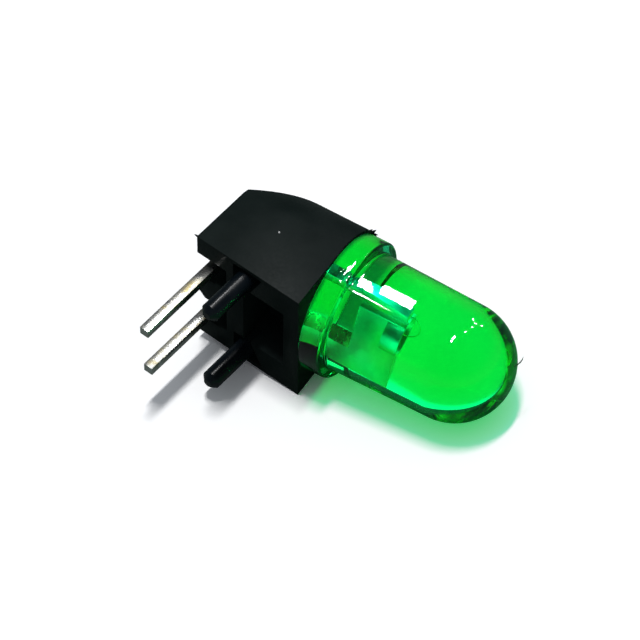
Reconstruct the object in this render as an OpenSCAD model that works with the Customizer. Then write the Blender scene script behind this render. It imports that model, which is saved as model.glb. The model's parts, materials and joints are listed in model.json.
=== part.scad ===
// Right-angle board indicator: a green 5 mm LED held by a moulded black housing.
// The housing's board face carries two locating pegs, and both leads bend down past it.
// The part lies on one side of its housing and leans on the dome of its lens, as it comes to rest.
//
// Working axes: +X runs along the LED from its seat, +Z is up and the board face looks along -Y.
// Board axes share the same origin and are turned about Z, because the LED rises from the board.

/* [Housing] */
// Width across the two side faces
housing_w = 5.9; // [5.9:0.1:8]
// How far the side faces cut into the round top, which leaves a soft edge along each
side_cut = 0.05; // [0.02:0.01:0.1]
// Depth from the back face to the LED's seat, along the board
housing_d = 4.7; // [4.5:0.1:7]
// Height of the LED's axis above the board face, at the seat
axis_h = 2.8; // [2.6:0.1:5]
// Angle by which the LED's axis rises away from the board
led_tilt = 7; // [0:1:12]
// Height on the back face where the sloping cut starts
slope_start_h = 3.05; // [2.9:0.05:4]
// Slope of the cut across the upper back corner
slope_angle = 45; // [35:1:60]

/* [Lead slots] */
// Thickness of the side walls beside the lead slots
side_wall = 1; // [0.6:0.05:1.2]
// Width of the rib between the two lead slots
rib_w = 1.3; // [0.9:0.05:1.6]
// Chamfer on the rib's two back corners
rib_chamfer = 0.35; // [0.1:0.05:0.4]
// Depth of the slots from the back face
slot_d = 1.45; // [1.1:0.05:1.6]
// Room round each lead where it runs through the housing
channel_gap = 0.15; // [0.05:0.01:0.2]

/* [Board face] */
// Thickness of the wall between the front face and the recess
front_wall = 0.75; // [0.4:0.05:1.2]
// Length of the recess along the board
recess_l = 2; // [1.6:0.1:2.2]
// Width of the recess
recess_w = 3.2; // [2.4:0.1:3.6]
// Depth of the recess
recess_d = 1.6; // [0.5:0.1:1.8]
// Thickness of the wall between a lead slot and a peg's pocket
pocket_wall = 0.35; // [0.3:0.05:0.6]
// Thickness of the web outside a peg's pocket
pocket_web = 0.2; // [0.1:0.05:0.3]
// Depth of the pocket round each peg's root
pocket_d = 0.8; // [0.3:0.1:1.2]

/* [Pegs] */
// Diameter of the locating pegs
peg_d = 0.8; // [0.6:0.05:1]
// Distance between the peg centres
peg_pitch = 4.34; // [4:0.02:4.5]
// Distance of the pegs from the back face
peg_from_back = 2.37; // [2.2:0.01:2.6]
// Length of the pegs below the board face
peg_l = 2.25; // [1.5:0.05:3.5]
// How much each peg's radius grows from the board face to the bottom of its pocket
peg_root = 0.05; // [0.02:0.01:0.06]
// Chamfer at the pegs' tips
peg_chamfer = 0.22; // [0.05:0.01:0.3]

/* [Leads] */
// Thickness and width of the square leads
lead_w = 0.4; // [0.3:0.05:0.5]
// Distance between the lead centres
lead_pitch = 2.54; // [2.3:0.02:2.8]
// Distance of the lead centres from the back face
lead_from_back = 0.6; // [0.5:0.05:0.8]
// Length of the anode lead below the board face
anode_l = 3.85; // [2.5:0.05:12]
// Length of the cathode lead below the board face
cathode_l = 3.7; // [2.5:0.05:12]
// Radius inside the leads' bends
bend_r = 0.4; // [0.3:0.05:0.6]
// How far each face of a lead sinks where the strip thins in its bend
bend_thinning = 0.01; // [0.005:0.005:0.02]

/* [Lens] */
// Diameter of the flange
flange_d = 5.8; // [5.5:0.05:6]
// Thickness of the flange
flange_t = 0.95; // [0.7:0.05:1.5]
// Diameter of the lens body next to the flange
body_d = 5; // [4.8:0.05:5.2]
// Radius of the dome
dome_r = 2.4; // [2.3:0.05:2.5]
// Distance from the seat to the centre of the dome
dome_x = 5.33; // [4.6:0.01:6.5]

/* [Leadframe] */
// Distance from the seat to the rim of the reflector cup
cup_top = 3.35; // [3:0.05:3.6]
// Outside diameter of the reflector cup
cup_d = 1.15; // [1:0.05:1.3]
// Depth of the reflector cup
cup_depth = 0.35; // [0.25:0.05:0.5]
// Thickness of the reflector cup's rim
cup_rim = 0.08; // [0.05:0.01:0.15]
// How far the cup's rim stands above the end of the anvil
cup_stand = 0.15; // [0.05:0.05:0.3]
// Distance from the seat to where the anvil and the post widen
shoulder_x = 1.3; // [0.8:0.05:1.6]
// Gap between the anvil and the post
frame_gap = 0.3; // [0.2:0.05:0.5]

/* [Chip] */
// Side of the square chip
chip_w = 0.3; // [0.2:0.01:0.35]
// Thickness of the chip
chip_t = 0.18; // [0.1:0.01:0.25]
// Thickness of the conductive adhesive under the chip
attach_t = 0.03; // [0.02:0.01:0.05]
// Diameter of the bond wire
wire_d = 0.03; // [0.025:0.005:0.05]

/* [Hidden] */
$fn = 96;

eps = 0.01;
far = 30;
half_w = housing_w / 2;
barrel_r = half_w + side_cut;

// Places in the board axes
back_x = -housing_d;
board_y = -axis_h;
lead_x = back_x + lead_from_back;
lead_z = lead_pitch / 2;
peg_x = back_x + peg_from_back;
peg_z = peg_pitch / 2;
front_foot_x = axis_h * tan(led_tilt);
recess_front_x = front_foot_x - front_wall;
recess_back_x = recess_front_x - recess_l;
recess_z = recess_w / 2;
pocket_back_x = back_x + slot_d + pocket_wall;
pocket_z = half_w - pocket_web;

// A lead's bend, whose corner lies where the LED's axis crosses the lead's line
corner_y = lead_x * tan(led_tilt);
bend_mid_r = bend_r + lead_w / 2;
bend_angle = 90 - led_tilt;
bend_reach = bend_mid_r * tan(bend_angle / 2);
run_l = -lead_x / cos(led_tilt) - bend_reach;
slot_top_y = corner_y + lead_w / 2 + 2 * channel_gap;

// Places along the LED's axis
cup_r = cup_d / 2;
cup_floor_x = cup_top - cup_depth;
neck_x = cup_floor_x - lead_w;
chip_x = cup_floor_x + attach_t;
chip_top_x = chip_x + chip_t;

// Places across the leadframe
lead_in_z = lead_z - lead_w / 2;
lead_out_z = lead_z + lead_w / 2;
barb_z = lead_out_z + lead_w / 2;
post_in_z = cup_r + frame_gap;
post_pad_z = post_in_z + lead_w / 2;

// At rest the housing's lower front edge and the dome both touch the bench.
lean = acos(dome_r / norm([half_w, dome_x])) - atan2(dome_x, half_w);

// Lays the working axes on the bench, with the housing's lower front edge on the Y axis.
module at_rest() {
    rotate([0, lean, 0]) translate([0, 0, half_w]) children();
}

// Turns from the working axes to the board axes.
module board_axes() {
    rotate([0, 0, -led_tilt]) children();
}

// The children and their mirror image across the middle plane.
module both_sides() {
    children();
    mirror([0, 0, 1]) children();
}

// A box between its low and high corners.
module box(low, high) {
    translate(low) cube(high - low);
}

// A round bar or cone along +X from x, with its radius at each end.
module round_x(x, l, r1, r2) {
    translate([x, 0, 0]) rotate([0, 90, 0]) cylinder(h = l, r1 = r1, r2 = r2);
}

// A cut into the board face, of depth d, from an outline of [x, z] points in the board axes.
module board_cut(d, points) {
    translate([0, board_y + d, 0]) rotate([90, 0, 0]) linear_extrude(d + eps) polygon(points);
}

// ---- housing ----

// Flat sides, a round top about the LED's axis, and a flat seat at its front.
module housing_form() {
    difference() {
        union() {
            round_x(-far, far, barrel_r, barrel_r);
            box([-far, -far, -half_w], [0, 0, half_w]);
        }
        both_sides() box([-2 * far, -far, half_w], [far, far, far]);
        board_axes() {
            box([-2 * far, -2 * far, -far], [back_x, far, far]);
            box([-2 * far, -2 * far, -far], [far, board_y, far]);
            translate([back_x, board_y + slope_start_h, 0]) rotate([0, 0, 90 - slope_angle])
                box([-far, 0, -far], [far, far, far]);
        }
    }
}

// Slot for a lead's downward run, open to the back and to the board.
module lead_slot() {
    low_z = rib_w / 2;
    high_z = half_w - side_wall;
    board_cut(slot_top_y - board_y, [
        [back_x - eps, low_z - rib_chamfer - eps],
        [back_x + rib_chamfer, low_z],
        [back_x + slot_d, low_z],
        [back_x + slot_d, high_z],
        [back_x - eps, high_z],
    ]);
}

// Passage for a lead from the seat to its slot.
module lead_channel() {
    half = lead_w / 2 + channel_gap;
    box([-housing_d + slot_d / 2, -half, lead_z - half], [eps, half, lead_z + half]);
}

// Pocket round a peg's root: it opens into the recess and has a slanting front wall.
module peg_pocket() {
    inner_z = recess_z - eps;
    slant_x = peg_x + peg_d / 3;
    board_cut(pocket_d, [
        [pocket_back_x, inner_z],
        [slant_x, inner_z],
        [slant_x + (pocket_z - inner_z) / 2, pocket_z],
        [pocket_back_x, pocket_z],
    ]);
}

// Recess that keeps the middle of the board face clear.
module board_recess() {
    board_cut(recess_d, [
        [recess_back_x, -recess_z],
        [recess_front_x, -recess_z],
        [recess_front_x, recess_z],
        [recess_back_x, recess_z],
    ]);
}

// Locating peg: a tapered root in its pocket, a round shank and a chamfered tip.
module peg() {
    root_l = pocket_d + eps;
    shank_l = peg_l - peg_chamfer;
    translate([peg_x, board_y, peg_z]) rotate([90, 0, 0]) {
        translate([0, 0, -root_l]) cylinder(h = root_l, d1 = peg_d + 2 * peg_root, d2 = peg_d);
        cylinder(h = shank_l, d = peg_d);
        translate([0, 0, shank_l])
            cylinder(h = peg_chamfer, d1 = peg_d, d2 = peg_d - 2 * peg_chamfer);
    }
}

module housing() {
    color([0.09, 0.1, 0.1]) at_rest() {
        difference() {
            housing_form();
            both_sides() lead_channel();
            board_axes() {
                both_sides() {
                    lead_slot();
                    peg_pocket();
                }
                board_recess();
            }
        }
        board_axes() both_sides() peg();
    }
}

// ---- leads and leadframe ----

// A lead from the seat back through the housing, round its bend and down past the board face.
module lead_leg(length_below) {
    half = lead_w / 2;
    bend_end_y = corner_y - bend_reach;
    box([-run_l - eps, -half, -half], [0, half, half]);
    board_axes() {
        translate([lead_x + bend_mid_r, bend_end_y, 0]) rotate([0, 0, 180 - bend_angle])
            rotate_extrude(angle = bend_angle)
                translate([bend_mid_r, 0]) square(lead_w - 2 * bend_thinning, center = true);
        box([lead_x - half, board_y - length_below, -half],
            [lead_x + half, bend_end_y + eps, half]);
    }
}

// A flat stamping in the plane of the two leads, from an outline of [x, z] points.
module stamping(points) {
    translate([0, lead_w / 2, 0]) rotate([90, 0, 0]) linear_extrude(lead_w) polygon(points);
}

// The cathode: lead, broad anvil and reflector cup, all from one strip.
module cathode_form() {
    translate([0, 0, -lead_z]) lead_leg(cathode_l);
    difference() {
        union() {
            stamping([
                [0, -lead_out_z],
                [cup_top - cup_stand, -lead_out_z],
                [cup_top - cup_stand, cup_r],
                [shoulder_x, cup_r],
                [shoulder_x, -lead_in_z],
                [0, -lead_in_z],
            ]);
            round_x(neck_x, cup_top - neck_x, cup_r, cup_r);
        }
        round_x(cup_floor_x, cup_depth, chip_w, cup_r - cup_rim);
        round_x(cup_top, eps, cup_r, cup_r);
    }
}

// The anode: lead and post, whose end takes the bond wire.
module anode_form() {
    translate([0, 0, lead_z]) lead_leg(anode_l);
    stamping([
        [0, lead_in_z],
        [shoulder_x, lead_in_z],
        [shoulder_x + lead_w, post_in_z],
        [cup_top, post_in_z],
        [cup_top, post_in_z + lead_w],
        [shoulder_x + lead_w, barb_z],
        [shoulder_x, barb_z],
        [shoulder_x, lead_out_z],
        [0, lead_out_z],
    ]);
}

module anode_lead() {
    color([0.78, 0.78, 0.76]) at_rest() anode_form();
}

module cathode_lead() {
    color([0.78, 0.78, 0.76]) at_rest() cathode_form();
}

// ---- chip, adhesive and bond wire ----

module chip_form() {
    box([chip_x, -chip_w / 2, -chip_w / 2], [chip_top_x, chip_w / 2, chip_w / 2]);
}

module attach_form() {
    box([cup_floor_x, -chip_w / 2, -chip_w / 2], [chip_x, chip_w / 2, chip_w / 2]);
}

// The wire rises from the chip, bows over the cup's rim and comes down on the post.
module wire_form() {
    bow_r = post_pad_z / 2;
    round_x(chip_top_x, cup_top - chip_top_x, wire_d / 2, wire_d / 2);
    translate([cup_top, 0, bow_r]) rotate([-90, 0, 0]) rotate([0, 0, -90])
        rotate_extrude(angle = 180) translate([bow_r, 0]) circle(d = wire_d);
}

module led_chip() {
    color([0.85, 0.8, 0.5]) at_rest() chip_form();
}

module die_attach() {
    color([0.7, 0.7, 0.68]) at_rest() attach_form();
}

module bond_wire() {
    color([0.9, 0.72, 0.25]) at_rest() wire_form();
}

// ---- lens ----

// The moulded epoxy: a flange with a flat on the cathode's side, a drafted body and a dome.
module lens_form() {
    difference() {
        round_x(0, flange_t, flange_d / 2, flange_d / 2);
        box([-eps, -flange_d, -flange_d], [flange_t + eps, flange_d, -body_d / 2]);
    }
    round_x(0, dome_x, body_d / 2, dome_r);
    translate([dome_x, 0, 0]) sphere(dome_r);
}

// The epoxy is moulded round the metal, so each piece inside leaves its own shape.
module lens() {
    color([0.05, 0.8, 0.25, 0.6]) at_rest() difference() {
        lens_form();
        cathode_form();
        anode_form();
        chip_form();
        attach_form();
        wire_form();
    }
}

housing();
lens();
anode_lead();
cathode_lead();
led_chip();
die_attach();
bond_wire();
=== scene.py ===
"""Looks of a right-angle board indicator: a green LED in a black moulded housing, on its side.

Working axes, in millimetres, are those of the part's source: +X along the LED from its seat,
+Z up and the board face looking along -Y. AT_REST lays them on the bench in the row frame.
Board axes lean with the board, and BOARD lays those on the bench.
"""

import json
import math

import bmesh
import bpy
from mathutils import Matrix, Vector

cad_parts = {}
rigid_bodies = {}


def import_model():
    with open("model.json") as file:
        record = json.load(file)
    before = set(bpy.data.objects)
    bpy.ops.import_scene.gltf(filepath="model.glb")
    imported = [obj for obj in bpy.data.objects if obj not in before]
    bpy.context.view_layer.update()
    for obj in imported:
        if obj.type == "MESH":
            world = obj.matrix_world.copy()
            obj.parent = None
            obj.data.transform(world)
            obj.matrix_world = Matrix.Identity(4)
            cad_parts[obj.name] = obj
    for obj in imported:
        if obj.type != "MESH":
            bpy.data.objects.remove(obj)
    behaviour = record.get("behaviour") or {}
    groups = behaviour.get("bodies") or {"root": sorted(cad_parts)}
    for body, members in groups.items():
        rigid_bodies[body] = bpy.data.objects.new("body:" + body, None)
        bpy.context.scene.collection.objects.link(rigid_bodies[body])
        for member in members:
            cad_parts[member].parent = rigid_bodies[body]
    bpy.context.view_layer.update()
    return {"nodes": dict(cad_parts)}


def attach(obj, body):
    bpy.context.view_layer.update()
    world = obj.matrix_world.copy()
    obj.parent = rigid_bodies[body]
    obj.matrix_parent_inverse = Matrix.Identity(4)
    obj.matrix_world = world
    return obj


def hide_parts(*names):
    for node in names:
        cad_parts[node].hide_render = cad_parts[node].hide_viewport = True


MM = 0.001
for left_over in list(bpy.data.objects):
    bpy.data.objects.remove(left_over)
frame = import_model()

# ---- sizes from the part's source, in millimetres ----

HALF_W = 2.95
LED_TILT = math.radians(7)
FLANGE_R, FLANGE_T = 2.9, 0.95
BODY_R, DOME_R, DOME_X = 2.5, 2.4, 5.33
LEAN = math.acos(DOME_R / math.hypot(HALF_W, DOME_X)) - math.atan2(DOME_X, HALF_W)
BOARD_Y = -2.8
PEG_X, PEG_Z, PEG_R = -2.33, 2.17, 0.4

AT_REST = Matrix.Rotation(LEAN, 4, "Y") @ Matrix.Translation((0, 0, HALF_W))
BOARD = AT_REST @ Matrix.Rotation(-LED_TILT, 4, "Z")

# ---- sizes of the looks, in millimetres ----

MOULDED_EDGE = 0.045
STAMPED_EDGE = 0.025
PLATED_FROM_X = 0.3
NEAR = 0.01

# the lens's outline
LENS_SIDES = 256
SEAT_GAP = 0.02
SEAT_FACE_R = 1.2
SEAT_ROUND = 0.06
RIM_X = 0.5
RIM_ROUND = 0.10
ROOT_R = BODY_R - 0.02
ROOT_FILLET = 0.07
BODY_STEPS = 24

# flash: (x, distance from the LED's axis, degrees) of each root and tip, and the root's radius
FRONT_THORNS = (
    ((-0.04, 2.94, -38), (0.03, 3.03, -37), 0.05),
    ((-0.05, 2.93, -45), (0.02, 3.08, -43), 0.06),
    ((-0.04, 2.92, -52), (0.05, 3.10, -52), 0.07),
    ((-0.03, 2.93, -58), (0.13, 3.14, -56), 0.08),
    ((-0.03, 2.94, -63), (0.12, 3.02, -66), 0.06),
)
BACK_CORNER = Vector((-4.389, -2.206, 6.373))  # at rest
NIB_ROOT, NIB_TIP, NIB_R = Vector((0.03, 0.03, -0.02)), Vector((-0.12, -0.02, 0.07)), 0.05
THORN_ANGLES = (0.2, 1.3, 2.7, 3.9, 5.2)
WAIST_UP, WAIST_IN = 0.55, 0.35

DUST_AT = Vector((-2.40, -0.64, HALF_W))  # in board axes
DUST_TIP, DUST_R = Vector((0.01, 0.01, 0.04)), 0.05

# hair: its points in working axes, each with the hair's radius there
HAIR = (
    ((7.56, 0.58, 0.60), 0.014),
    ((7.66, 0.68, 0.68), 0.022),
    ((7.73, 0.77, 0.79), 0.024),
    ((7.77, 0.86, 0.91), 0.020),
    ((7.77, 0.91, 1.03), 0.008),
)
HAIR_SIDES = 8

# ---- camera ----

CAMERA_AT = Vector((65.3, -85.8, 130.0)) * MM
VIEW_RIGHT = Vector((0.84134, 0.53507, -0.07384))
VIEW_AWAY = Vector((-0.39202, 0.50997, -0.76551))
SENSOR_W, FOCAL_LENGTH = 36, 242.15625


def placed(origin, *axes):
    """The matrix that puts an object at an origin, in metres, with these X, Y and Z axes."""
    return Matrix.Translation(origin) @ Matrix(axes).transposed().to_4x4()


def make_camera():
    back = -VIEW_AWAY.normalized()
    right = (VIEW_RIGHT - back * VIEW_RIGHT.dot(back)).normalized()
    camera = bpy.data.objects.new("camera", bpy.data.cameras.new("camera"))
    bpy.context.scene.collection.objects.link(camera)
    camera.matrix_world = placed(CAMERA_AT, right, back.cross(right), back)
    camera.data.sensor_width = SENSOR_W
    camera.data.lens = FOCAL_LENGTH
    camera.data.clip_start, camera.data.clip_end = 0.01, 10
    bpy.context.scene.camera = camera


# ---- node helpers ----


def new_material(name):
    material = bpy.data.materials.new(name)
    material.use_nodes = True
    material.node_tree.nodes.clear()
    return material, material.node_tree


def add(tree, kind, inputs=None, **settings):
    node = tree.nodes.new(kind)
    for key, value in settings.items():
        setattr(node, key, value)
    for key, value in (inputs or {}).items():
        if isinstance(value, bpy.types.NodeSocket):
            tree.links.new(value, node.inputs[key])
        else:
            node.inputs[key].default_value = value
    return node


def output(tree, surface, volume=None):
    out = add(tree, "ShaderNodeOutputMaterial", {"Surface": surface})
    if volume:
        tree.links.new(volume, out.inputs["Volume"])


def principled(tree, colour, roughness, inputs=None):
    """End a tree with one principled shader."""
    shader = add(tree, "ShaderNodeBsdfPrincipled",
                 {"Base Color": colour, "Roughness": roughness, **(inputs or {})})
    output(tree, shader.outputs[0])


def object_noise(tree, scale, detail=3.0):
    """Noise fixed to the object, scale in waves per metre."""
    place = add(tree, "ShaderNodeTexCoord").outputs["Object"]
    return add(tree, "ShaderNodeTexNoise", {"Vector": place, "Scale": scale, "Detail": detail,
                                            "Roughness": 0.55}).outputs[0]


def ramp(tree, value, *stops):
    """A colour ramp through (position, (r, g, b)) stops."""
    node = add(tree, "ShaderNodeValToRGB", {0: value})
    ends = node.color_ramp.elements
    while len(ends) < len(stops):
        ends.new(0.5)
    for end, (position, colour) in zip(ends, stops):
        end.position, end.color = position, (*colour, 1)
    return node.outputs[0]


def remap(tree, value, low, high, to_low=0.0, to_high=1.0):
    """A value from low to high laid over another range, and held at its ends."""
    return add(tree, "ShaderNodeMapRange",
               {0: value, 1: low, 2: high, 3: to_low, 4: to_high}).outputs[0]


def choose(tree, share, colour, other):
    """The other colour by its share, and the first for the rest."""
    return add(tree, "ShaderNodeMix", {0: share, 6: colour, 7: other},
               data_type="RGBA").outputs[2]


def fine_bump(tree, height, strength, depth):
    """Bump with a depth in metres."""
    return add(tree, "ShaderNodeBump",
               {"Height": height, "Strength": strength, "Distance": depth}).outputs[0]


# ---- materials ----


def housing_material():
    """Black moulded plastic with the fine texture of a spark-eroded mould."""
    material, tree = new_material("housing_plastic")
    cloudy = object_noise(tree, 700)
    grain = object_noise(tree, 9000, 4)
    colour = ramp(tree, cloudy, (0.3, (0.0048, 0.0092, 0.0086)), (0.7, (0.0092, 0.0144, 0.0136)))
    principled(tree, colour, remap(tree, grain, 0.3, 0.7, 0.38, 0.5),
               {"Normal": fine_bump(tree, grain, 0.35, 0.00001), "IOR": 1.5,
                "Specular IOR Level": 0.05})
    return material


def peg_material():
    """The same plastic where the mould is polished: the pegs."""
    material, tree = new_material("peg_plastic")
    cloudy = object_noise(tree, 1500)
    colour = ramp(tree, cloudy, (0.3, (0.002, 0.004, 0.006)), (0.7, (0.004, 0.007, 0.010)))
    principled(tree, colour, remap(tree, cloudy, 0.3, 0.7, 0.2, 0.32),
               {"IOR": 1.5, "Specular IOR Level": 0.3})
    return material


def lead_material():
    """Tinned strip: bright, yellowish in patches, with a fine grain."""
    material, tree = new_material("tinned_strip")
    patches = object_noise(tree, 1800, 4)
    grain = object_noise(tree, 16000)
    colour = ramp(tree, patches, (0.38, (0.66, 0.67, 0.66)), (0.54, (0.50, 0.49, 0.43)),
                  (0.68, (0.36, 0.31, 0.17)))
    principled(tree, colour, remap(tree, patches, 0.3, 0.7, 0.2, 0.38),
               {"Metallic": 1.0, "Normal": fine_bump(tree, grain, 0.5, 0.00001)})
    return material


def plated_material():
    """The same strip where the epoxy covers it: silver plated and still clean."""
    material, tree = new_material("plated_strip")
    patches = object_noise(tree, 2500)
    colour = ramp(tree, patches, (0.35, (0.90, 0.90, 0.88)), (0.65, (0.82, 0.82, 0.79)))
    principled(tree, colour, remap(tree, patches, 0.3, 0.7, 0.28, 0.42), {"Metallic": 1.0})
    return material


def mottled_material(name, scale, low, high, roughness, spread=0.15, metallic=0.0):
    """One material in two close shades, for the small pieces."""
    material, tree = new_material(name)
    colour = ramp(tree, object_noise(tree, scale), (0.5 - spread, low), (0.5 + spread, high))
    principled(tree, colour, roughness, {"Metallic": metallic})
    return material


def lens_material():
    """Clear green epoxy.

    Light on its way to the bench passes straight through it and turns green. All other rays
    meet glass, with the dye in its volume.
    """
    material, tree = new_material("green_epoxy")
    waves = object_noise(tree, 500, 2)
    mixed = add(tree, "ShaderNodeBsdfPrincipled",
                {"Base Color": (0.8, 1.0, 0.9, 1), "Roughness": 0.0, "IOR": 1.53,
                 "Specular IOR Level": 0.25, "Transmission Weight": 1.0,
                 "Normal": fine_bump(tree, waves, 0.01, 0.00002)})
    clear = add(tree, "ShaderNodeBsdfTransparent", {"Color": (0.5, 0.79, 0.66, 1)})
    path = add(tree, "ShaderNodeLightPath")
    for ray in ("Is Diffuse Ray", "Is Shadow Ray"):
        mixed = add(tree, "ShaderNodeMixShader",
                    {0: path.outputs[ray], 1: mixed.outputs[0], 2: clear.outputs[0]})
    dye = add(tree, "ShaderNodeVolumeAbsorption",
              {"Color": (0.0, 0.98, 0.86, 1), "Density": 3000.0})
    output(tree, mixed.outputs[0], dye.outputs[0])
    return material


def bench_material():
    """White bench with the part's shadows.

    It takes the light as a grey one does, and the camera and rays through the lens see it
    brighter, so that it looks white. Mirror reflections see it dark, and round the lens painted
    green: a painted pool of the green light that the lens throws on it.
    """
    material, tree = new_material("bench_white")
    path = add(tree, "ShaderNodeLightPath").outputs
    mottle = ramp(tree, object_noise(tree, 60, 2), (0.3, (0.32, 0.33, 0.33)),
                  (0.7, (0.34, 0.34, 0.34)))
    along = add(tree, "ShaderNodeSeparateXYZ",
                {0: add(tree, "ShaderNodeTexCoord").outputs["Object"]}).outputs[0]
    # painted green light: as x goes from -1 to 1.5 mm, the bench that mirror rays see turns from
    # dark grey to green, for the light through the lens
    dim = choose(tree, remap(tree, along, -0.001, 0.0015), (0.14, 0.17, 0.16, 1),
                 (0.05, 0.26, 0.11, 1))
    mirrored = choose(tree, path["Is Glossy Ray"], mottle, dim)
    through = choose(tree, path["Is Transmission Ray"], mirrored, (2.2, 2.2, 2.2, 1))
    colour = choose(tree, path["Is Camera Ray"], through, (1.2, 1.2, 1.2, 1))
    output(tree, add(tree, "ShaderNodeBsdfDiffuse", {"Color": colour}).outputs[0])
    return material


# ---- mesh helpers ----


def add_object(name, mesh, *materials):
    piece = bpy.data.objects.new(name, mesh)
    bpy.context.scene.collection.objects.link(piece)
    for material in materials:
        mesh.materials.append(material)
    return piece


def smooth_by_angle(bm, degrees):
    for face in bm.faces:
        face.smooth = True
    for edge in bm.edges:
        if edge.is_manifold and edge.calc_face_angle(0) > math.radians(degrees):
            edge.smooth = False


def rounded_copy(node, radius):
    """The CAD node's mesh with its sharp edges rounded, as a moulding's or a stamping's are."""
    flat_below, sharp_above = math.radians(0.5), math.radians(28)
    mesh = frame["nodes"][node].data.copy()
    mesh.materials.clear()
    bm = bmesh.new()
    bm.from_mesh(mesh)
    bmesh.ops.remove_doubles(bm, verts=bm.verts[:], dist=1e-7)
    bmesh.ops.dissolve_limit(bm, angle_limit=flat_below, verts=bm.verts[:], edges=bm.edges[:])
    sharp = [e for e in bm.edges if e.is_manifold and e.calc_face_angle(0) > sharp_above]
    bmesh.ops.bevel(bm, geom=sharp, offset=radius * MM, segments=2, profile=0.5,
                    affect="EDGES", clamp_overlap=True)
    smooth_by_angle(bm, 35)
    bm.to_mesh(mesh)
    bm.free()
    return mesh


def laid_mesh(bm, name, smooth_to=None):
    """End a mesh that was drawn in working axes in mm, and lay it on the bench."""
    bmesh.ops.recalc_face_normals(bm, faces=bm.faces[:])
    bm.transform(Matrix.Scale(MM, 4) @ AT_REST)
    if smooth_to:
        smooth_by_angle(bm, smooth_to)
    mesh = bpy.data.meshes.new(name)
    bm.to_mesh(mesh)
    bm.free()
    return mesh


def full_turn(count):
    return [2 * math.pi * i / count for i in range(count)]


def ring_across(bm, middle, along, side, radius, angles):
    """Vertices round a point, in the plane across a direction."""
    other = along.cross(side)
    return [bm.verts.new(middle + radius * (math.cos(a) * side + math.sin(a) * other))
            for a in angles]


def off_axis(x, r, degrees):
    """A point in working axes at a distance from the LED's axis, degrees from +Z toward -Y."""
    a = math.radians(degrees)
    return Vector((x, -r * math.sin(a), r * math.cos(a)))


def thorns(name, material, places):
    """Little five-sided thorns, each (root, tip, radius) in mm in working axes."""
    bm = bmesh.new()
    for root, tip, radius in places:
        along = (tip - root).normalized()
        side = along.orthogonal().normalized()
        ring = ring_across(bm, root, along, side, radius, THORN_ANGLES)
        waist = [bm.verts.new(v.co.lerp(root, WAIST_IN) + (tip - root) * WAIST_UP) for v in ring]
        top, foot = bm.verts.new(tip), bm.verts.new(root - along * radius)
        for i in range(len(ring)):
            j = (i + 1) % len(ring)
            bm.faces.new((ring[i], ring[j], waist[j], waist[i]))
            bm.faces.new((waist[i], waist[j], top))
            bm.faces.new((ring[j], ring[i], foot))
    piece = add_object(name, laid_mesh(bm, name), material)
    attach(piece, "root")
    return piece


# ---- pieces ----


def make_housing():
    mesh = rounded_copy("housing", MOULDED_EDGE)
    piece = add_object("housing_moulding", mesh, housing_material(), peg_material())
    board = BOARD.inverted()
    root_depth = 0.6
    for face in mesh.polygons:
        spot = board @ (face.center / MM)
        from_peg = math.hypot(spot.x - PEG_X, abs(spot.z) - PEG_Z)
        if spot.y < BOARD_Y - NEAR or (spot.y < BOARD_Y + root_depth
                                       and from_peg < PEG_R + 0.005):
            face.material_index = 1
    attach(piece, "root")
    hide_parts("housing")


def lens_profile():
    """Points (x, r) of the lens's outline in mm, from the seat's middle to the dome's tip."""
    points = [(SEAT_GAP, 0.0), (SEAT_GAP, SEAT_FACE_R)]

    def arc(cx, cr, radius, start, end, count):
        for i in range(count + 1):
            a = math.radians(start + (end - start) * i / count)
            points.append((cx + radius * math.cos(a), cr + radius * math.sin(a)))

    arc(SEAT_GAP + SEAT_ROUND, FLANGE_R - SEAT_ROUND, SEAT_ROUND, 180, 90, 5)
    points.append((RIM_X, FLANGE_R))
    arc(FLANGE_T - RIM_ROUND, FLANGE_R - RIM_ROUND, RIM_ROUND, 90, 0, 8)
    body_x = FLANGE_T + ROOT_FILLET
    arc(body_x, ROOT_R + ROOT_FILLET, ROOT_FILLET, 180, 270, 8)
    for i in range(1, BODY_STEPS + 1):
        share = i / BODY_STEPS
        points.append((body_x + (DOME_X - body_x) * share, ROOT_R + (DOME_R - ROOT_R) * share))
    arc(DOME_X, 0, DOME_R, 88, 0, 56)
    points[-1] = (DOME_X + DOME_R, 0.0)  # the tip, exactly on the axis
    return points


def lens_mesh():
    bm = bmesh.new()
    rings = []
    for x, r in lens_profile():
        if r == 0:
            rings.append([bm.verts.new((x, 0, 0))])
            continue
        ring = []
        for a in full_turn(LENS_SIDES):
            y, z = r * math.cos(a), r * math.sin(a)
            if x < FLANGE_T + NEAR:
                z = max(z, -BODY_R)  # the flat on the cathode's side
            ring.append(bm.verts.new((x, y, z)))
        rings.append(ring)
    for low, high in zip(rings, rings[1:]):
        for i in range(LENS_SIDES):
            j = (i + 1) % LENS_SIDES
            if len(low) == 1:
                bm.faces.new((low[0], high[i], high[j]))
            elif len(high) == 1:
                bm.faces.new((low[i], high[0], low[j]))
            else:
                bm.faces.new((low[i], high[i], high[j], low[j]))
    return laid_mesh(bm, "lens_epoxy", smooth_to=30)


def make_lens():
    piece = add_object("lens_epoxy", lens_mesh(), lens_material())
    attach(piece, "root")
    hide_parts("lens")


def make_leads():
    materials = lead_material(), plated_material()
    working = AT_REST.inverted()
    for node in ("anode_lead", "cathode_lead"):
        mesh = rounded_copy(node, STAMPED_EDGE)
        piece = add_object(node + "_strip", mesh, *materials)
        for face in mesh.polygons:
            if (working @ (face.center / MM)).x > PLATED_FROM_X:
                face.material_index = 1
        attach(piece, "root")
        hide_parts(node)


def make_flash():
    """Flash left by the mould: thorns on the front edge, and a nib on the back corner."""
    corner = AT_REST.inverted() @ BACK_CORNER
    front = [(off_axis(*root), off_axis(*tip), radius) for root, tip, radius in FRONT_THORNS]
    nib = [(corner + NIB_ROOT, corner + NIB_TIP, NIB_R)]
    thorns("mould_flash", housing_material(), front + nib)


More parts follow.
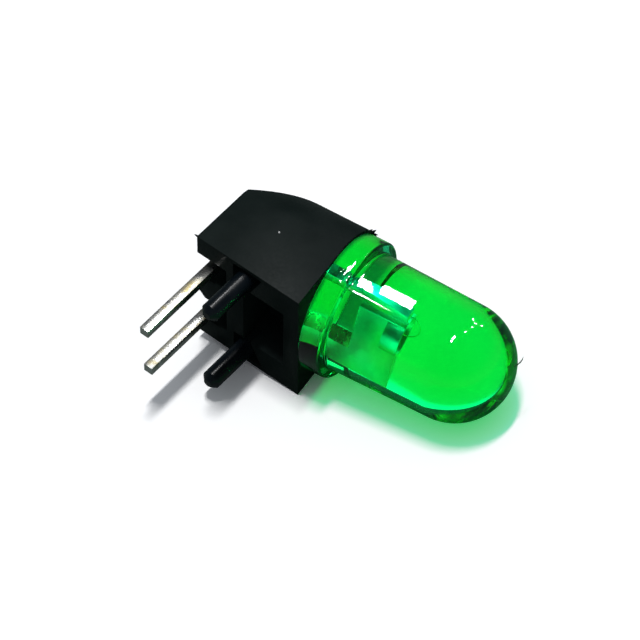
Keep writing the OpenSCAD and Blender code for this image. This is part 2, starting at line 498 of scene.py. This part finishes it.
def make_dust():
    """A pale grain on the housing's side."""
    spot = AT_REST.inverted() @ (BOARD @ DUST_AT)
    pale = mottled_material("pale_dust", 30000, (0.5, 0.5, 0.5), (0.8, 0.8, 0.8), 0.9, 0.1)
    thorns("dust_grain", pale, [(spot, spot + DUST_TIP, DUST_R)])


def make_lint():
    """A short dark hair caught on the dome."""
    path = [Vector(point) for point, _ in HAIR]
    last = len(path) - 1
    bm = bmesh.new()
    rings = []
    for i, (point, (_, radius)) in enumerate(zip(path, HAIR)):
        along = (path[min(i + 1, last)] - path[max(i - 1, 0)]).normalized()
        side = Vector((1, 0, 0)).cross(along).normalized()
        rings.append(ring_across(bm, point, along, side, radius, full_turn(HAIR_SIDES)))
    for low, high in zip(rings, rings[1:]):
        for i in range(HAIR_SIDES):
            j = (i + 1) % HAIR_SIDES
            bm.faces.new((low[i], low[j], high[j], high[i]))
    bm.faces.new(rings[0])
    bm.faces.new(rings[-1])
    mesh = laid_mesh(bm, "lint_hair", smooth_to=50)
    dark = mottled_material("dark_lint", 20000, (0.004, 0.010, 0.006), (0.012, 0.022, 0.014),
                            0.7, 0.1)
    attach(add_object("lint_hair", mesh, dark), "root")


def dress_cad_nodes():
    """Materials for the pieces in the lens that the CAD shows as they are."""
    looks = {
        "led_chip": mottled_material("semiconductor", 20000, (0.5, 0.45, 0.15),
                                     (0.62, 0.58, 0.25), 0.25),
        "die_attach": mottled_material("silver_adhesive", 20000, (0.55, 0.55, 0.53),
                                       (0.7, 0.7, 0.68), 0.4, metallic=1.0),
        "bond_wire": mottled_material("gold_wire", 9000, (0.9, 0.65, 0.25),
                                      (1.0, 0.76, 0.34), 0.2, metallic=1.0),
    }
    for node, material in looks.items():
        for place in frame["nodes"][node].material_slots:
            place.material = material


def make_bench():
    half, steps = 0.6, 8  # metres, and squares along each side
    bm = bmesh.new()
    corners = [[bm.verts.new((half * (2 * i / steps - 1), half * (2 * j / steps - 1), 0))
                for j in range(steps + 1)] for i in range(steps + 1)]
    for near, far in zip(corners, corners[1:]):
        for j in range(steps):
            bm.faces.new((near[j], far[j], far[j + 1], near[j + 1]))
    mesh = bpy.data.meshes.new("bench")
    bm.to_mesh(mesh)
    bm.free()
    add_object("bench", mesh, bench_material())


# ---- light ----

# lamps are placed in mm in the row frame, and face toward this point in the part
LAMPS_FACE = Vector((0, 0, 2))
GLINT, SPOT_GLINT = 60, 40

# bowed tubes, (x, y, width) at BAR_Z, which the round body straightens into bars
BAR_Z = 150
BARS = {
    "bar_near": ((-24.7, 18.0, 2.2), (-25.3, 29.4, 2.1), (-26.2, 41.4, 2.0),
                 (-27.5, 54.2, 1.8), (-29.2, 68.1, 1.3)),
    "bar_far": ((-22.7, 33.7, 2.6), (-23.8, 47.2, 2.7), (-25.4, 61.9, 2.7),
                (-27.4, 78.0, 2.8), (-30.2, 96.4, 2.7)),
    "bar_low": ((-30.9, 11.4, 0.6), (-31.7, 29.0, 0.5), (-33.4, 48.0, 0.3)),
}

# small spots, by their directions from the dome
SPOTS_FROM = Vector((5.8, 0.2, 2.3))
SPOT_AWAY, SPOT_W = 250, 12
SPOT_WAYS = (
    (0.127, 0.422, 0.899),
    (0.15, 0.66, 0.738),
    (0.104, 0.796, 0.598),
    (-0.016, 0.842, 0.541),
    (0.219, 0.84, 0.498),
)


def make_world():
    """A dim room to the eye, a soft sky for the bench, and a bright one behind the lens."""
    world = bpy.data.worlds.new("studio")
    bpy.context.scene.world = world
    world.use_nodes = True
    tree = world.node_tree
    tree.nodes.clear()
    path = add(tree, "ShaderNodeLightPath").outputs
    height = add(tree, "ShaderNodeSeparateXYZ",
                 {0: add(tree, "ShaderNodeTexCoord").outputs["Generated"]}).outputs[2]
    room = ramp(tree, height, (0.0, (0.14, 0.15, 0.15)), (0.45, (0.03, 0.035, 0.04)))
    soft = ramp(tree, height, (0.2, (0.03, 0.03, 0.03)), (0.6, (0.33, 0.35, 0.375)))
    lit = ramp(tree, height, (0.5, (1.2, 1.2, 1.2)), (0.64, (0.8, 0.82, 0.82)))
    seen = add(tree, "ShaderNodeMath", {0: path["Is Camera Ray"], 1: path["Is Glossy Ray"]},
               operation="MAXIMUM").outputs[0]
    # rays through the lens that haven't yet met the bench
    through = add(tree, "ShaderNodeMath",
                  {0: path["Is Transmission Ray"], 1: path["Diffuse Depth"]},
                  operation="SUBTRACT", use_clamp=True).outputs[0]
    colour = choose(tree, seen, choose(tree, through, soft, lit), room)
    sky = add(tree, "ShaderNodeBackground", {"Color": colour})
    add(tree, "ShaderNodeOutputWorld", {"Surface": sky.outputs[0]})


def strip_light(name, start, end, width, radiance, soft=False):
    """A lamp of even radiance from one point to another.

    One that isn't soft doesn't light matt surfaces, and is only there for its glint.
    """
    start, end = Vector(start), Vector(end)
    lamp = bpy.data.lights.new(name, "AREA")
    lamp.shape = "RECTANGLE"
    lamp.size, lamp.size_y = (end - start).length * MM, width * MM
    lamp.energy = radiance * 4 * lamp.size * lamp.size_y
    place = bpy.data.objects.new(name, lamp)
    bpy.context.scene.collection.objects.link(place)
    place.visible_diffuse = soft
    middle = (start + end) / 2
    along = (end - start).normalized()
    back = middle - LAMPS_FACE
    back = (back - along * back.dot(along)).normalized()
    place.matrix_world = placed(middle * MM, along, back.cross(along), back)


def make_lamps():
    strip_light("key", (0, -25, 250), (0, 35, 250), 14, 115, soft=True)
    for name, places in BARS.items():
        for i, ((x, y, width), (next_x, next_y, next_width)) in enumerate(zip(places, places[1:])):
            strip_light("%s_%d" % (name, i), (x, y, BAR_Z), (next_x, next_y, BAR_Z),
                        (width + next_width) / 2, GLINT)
    strip_light("line", (-24.7, -9.3, BAR_Z), (-22.9, -16, BAR_Z), 3, GLINT)
    half = Vector((SPOT_W / 2, 0, 0))
    for i, way in enumerate(SPOT_WAYS):
        spot = Vector(way) * SPOT_AWAY + SPOTS_FROM
        strip_light("spot_%d" % i, spot - half, spot + half, SPOT_W, SPOT_GLINT)


bpy.context.scene.view_settings.view_transform = "Standard"
make_camera()
make_world()
make_lamps()
make_bench()
make_housing()
make_lens()
make_leads()
make_flash()
make_dust()
make_lint()
dress_cad_nodes()
